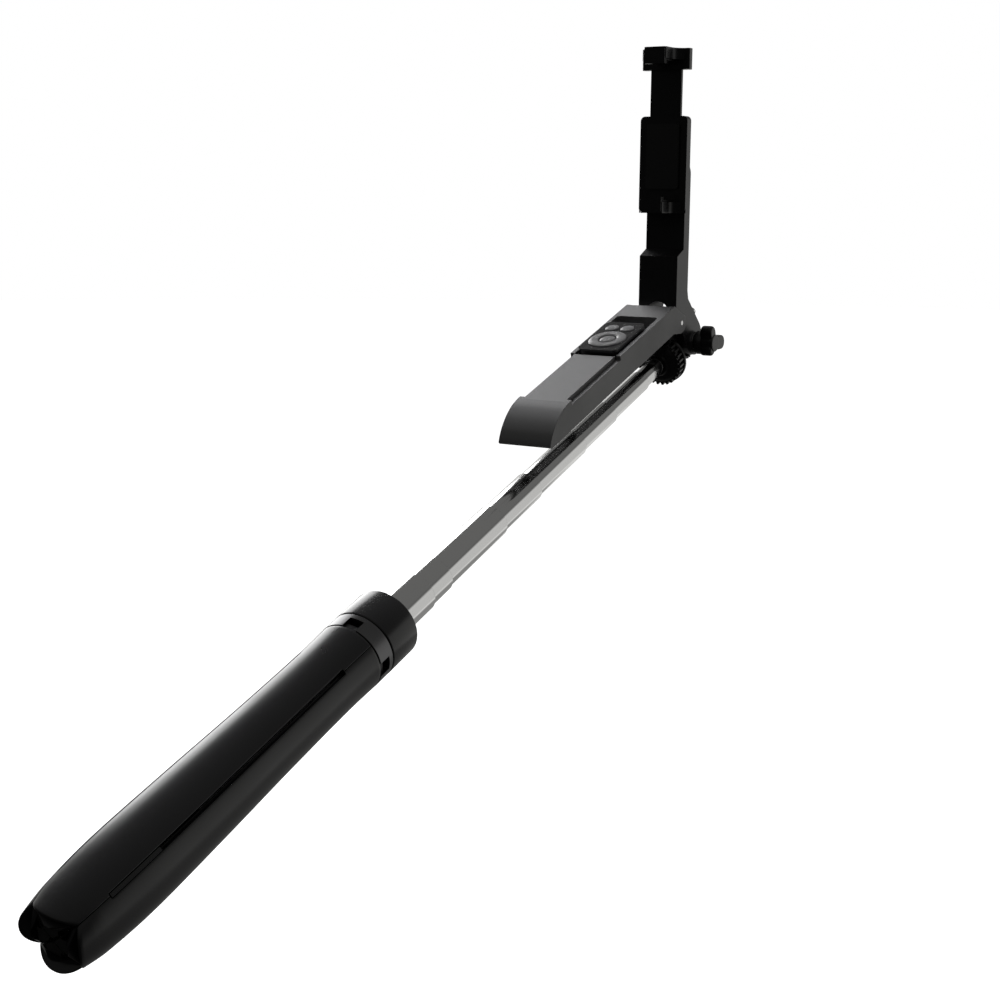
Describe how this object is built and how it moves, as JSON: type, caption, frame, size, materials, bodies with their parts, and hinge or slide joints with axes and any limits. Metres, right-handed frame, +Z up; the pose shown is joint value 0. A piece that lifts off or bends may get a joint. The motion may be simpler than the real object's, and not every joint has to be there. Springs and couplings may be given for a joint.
{
  "type": "selfie stick",
  "caption": "Telescoping selfie stick with a folded tripod handle, a sprung phone clamp on a tilting fork arm, and a push-button remote docked in a hinged cover.",
  "frame": {"origin": "on the stick's axis in the middle of the hand grip", "axes": "+Z up, +X to the right of the user who looks at the phone's screen, +Y away from the user; the stick's axis lies in the YZ plane and rises 19 degrees toward +Y; the clamp's jaws open along Z"},
  "size_m": [0.0402, 0.4956, 0.3353],
  "materials": {
    "satin_black_abs": "satin moulded ABS",
    "gloss_black_abs": "gloss moulded ABS",
    "dark_grey_abs": "satin moulded ABS",
    "black_rubber": "matt rubber",
    "polished_steel": "polished stainless steel",
    "grey_alloy": "dark grey painted alloy",
    "button_rubber": "silicone rubber",
    "natural_acetal": "natural acetal",
    "green_laminate": "circuit board laminate"
  },
  "bodies": {
    "handle": {"hinge_ring": "grey_alloy", "collar_sleeve": "gloss_black_abs", "guide_tube": "polished_steel", "guide_plug": "satin_black_abs", "leg_1_pin": "polished_steel", "leg_2_pin": "polished_steel", "leg_3_pin": "polished_steel", "leg_4_pin": "polished_steel"},
    "leg_1": {"leg_1_shell": "satin_black_abs", "leg_1_liner": "satin_black_abs", "leg_1_foot": "black_rubber"},
    "leg_2": {"leg_2_shell": "satin_black_abs", "leg_2_liner": "satin_black_abs", "leg_2_foot": "black_rubber"},
    "leg_3": {"leg_3_shell": "satin_black_abs", "leg_3_liner": "satin_black_abs", "leg_3_foot": "black_rubber"},
    "leg_4": {"leg_4_shell": "satin_black_abs", "leg_4_liner": "satin_black_abs", "leg_4_foot": "black_rubber"},
    "section_1": {"tube_1": "polished_steel", "glide_1": "natural_acetal"},
    "section_2": {"tube_2": "polished_steel", "glide_2": "natural_acetal"},
    "section_3": {"tube_3": "polished_steel", "glide_3": "natural_acetal"},
    "section_4": {"tube_4": "polished_steel", "glide_4": "natural_acetal"},
    "section_5": {"tube_5": "polished_steel", "glide_5": "natural_acetal"},
    "section_6": {"tube_6": "polished_steel", "glide_6": "natural_acetal"},
    "head": {"tube_7": "polished_steel", "glide_7": "natural_acetal", "head_hub": "satin_black_abs", "cover_pin": "polished_steel"},
    "arm": {"fork_arm": "satin_black_abs", "ear_screw": "polished_steel", "tilt_bolt": "polished_steel", "tilt_washer": "polished_steel"},
    "knob": {"lever_knob": "satin_black_abs"},
    "clamp": {"clamp_housing": "satin_black_abs", "lower_jaw_pad": "black_rubber", "back_pad": "black_rubber", "swivel_cap": "polished_steel", "clamp_spring_1": "polished_steel", "clamp_spring_2": "polished_steel"},
    "jaw": {"jaw_slider": "satin_black_abs", "upper_jaw_pad": "black_rubber"},
    "cover": {"cover_shell": "dark_grey_abs"},
    "remote": {"remote_body": "gloss_black_abs", "remote_base": "satin_black_abs", "remote_board": "green_laminate", "remote_cell": "polished_steel"},
    "key_left": {"key_left": "button_rubber"},
    "key_right": {"key_right": "button_rubber"},
    "key_ring": {"key_ring": "button_rubber"},
    "key_centre": {"key_centre": "button_rubber"}
  },
  "joints": [
    {"name": "section_1_slide", "type": "slide", "parent": "handle", "child": "section_1", "axis": [0, 0.9455, 0.3256], "range_m": [-0.0127, 0.1123]},
    {"name": "section_2_slide", "type": "slide", "parent": "section_1", "child": "section_2", "axis": [0, 0.9455, 0.3256], "range_m": [-0.0473, 0.0777]},
    {"name": "section_3_slide", "type": "slide", "parent": "section_2", "child": "section_3", "axis": [0, 0.9455, 0.3256], "range_m": [-0.0321, 0.0929]},
    {"name": "section_4_slide", "type": "slide", "parent": "section_3", "child": "section_4", "axis": [0, 0.9455, 0.3256], "range_m": [-0.0452, 0.0798]},
    {"name": "section_5_slide", "type": "slide", "parent": "section_4", "child": "section_5", "axis": [0, 0.9455, 0.3256], "range_m": [-0.0331, 0.0919]},
    {"name": "section_6_slide", "type": "slide", "parent": "section_5", "child": "section_6", "axis": [0, 0.9455, 0.3256], "range_m": [-0.0371, 0.0879]},
    {"name": "head_slide", "type": "slide", "parent": "section_6", "child": "head", "axis": [0, 0.9455, 0.3256], "range_m": [-0.0182, 0.1033]},
    {"name": "leg_1_fold", "type": "hinge", "parent": "handle", "child": "leg_1", "pos_m": [0.00283, 0.07127, 0.03752], "axis": [-0.9744, -0.0732, 0.2127], "range_deg": [0, 38]},
    {"name": "leg_2_fold", "type": "hinge", "parent": "handle", "child": "leg_2", "pos_m": [0.01228, 0.07619, 0.02323], "axis": [0.225, -0.3172, 0.9213], "range_deg": [0, 38]},
    {"name": "leg_3_fold", "type": "hinge", "parent": "handle", "child": "leg_3", "pos_m": [-0.00283, 0.07926, 0.01431], "axis": [0.9744, 0.0732, -0.2127], "range_deg": [0, 38]},
    {"name": "leg_4_fold", "type": "hinge", "parent": "handle", "child": "leg_4", "pos_m": [-0.01228, 0.07434, 0.02859], "axis": [-0.225, 0.3172, -0.9213], "range_deg": [0, 38]},
    {"name": "arm_tilt", "type": "hinge", "parent": "head", "child": "arm", "pos_m": [0, 0.38133, 0.13405], "axis": [-1, 0, 0], "range_deg": [0, 100]},
    {"name": "knob_turn", "type": "hinge", "parent": "arm", "child": "knob", "pos_m": [0, 0.38133, 0.13405], "axis": [1, 0, 0], "range_deg": [0, 270]},
    {"name": "clamp_swivel", "type": "hinge", "parent": "arm", "child": "clamp", "pos_m": [0, 0.34863, 0.22482], "axis": [0, 1, 0], "range_deg": [-90, 90]},
    {"name": "jaw_slide", "type": "slide", "parent": "clamp", "child": "jaw", "axis": [0, 0, 1], "range_m": [-0.009, 0.018], "stiffness_N_per_m": 150, "springref_m": -0.013, "deforming": ["clamp_spring_1", "clamp_spring_2"]},
    {"name": "cover_lift", "type": "hinge", "parent": "head", "child": "cover", "pos_m": [0, 0.35686, 0.14614], "axis": [-1, 0, 0], "range_deg": [0, 35]},
    {"name": "remote_lift_out", "type": "slide", "parent": "cover", "child": "remote", "axis": [0, -0.3256, 0.9455], "range_m": [0, 0.025]},
    {"name": "key_left_press", "type": "slide", "parent": "remote", "child": "key_left", "axis": [0, 0.3256, -0.9455], "range_m": [0, 0.0006], "stiffness_N_per_m": 600},
    {"name": "key_right_press", "type": "slide", "parent": "remote", "child": "key_right", "axis": [0, 0.3256, -0.9455], "range_m": [0, 0.0006], "stiffness_N_per_m": 600},
    {"name": "key_ring_press", "type": "slide", "parent": "remote", "child": "key_ring", "axis": [0, 0.3256, -0.9455], "range_m": [0, 0.0006], "stiffness_N_per_m": 600},
    {"name": "key_centre_press", "type": "slide", "parent": "remote", "child": "key_centre", "axis": [0, 0.3256, -0.9455], "range_m": [0, 0.0006], "stiffness_N_per_m": 600}
  ]
}
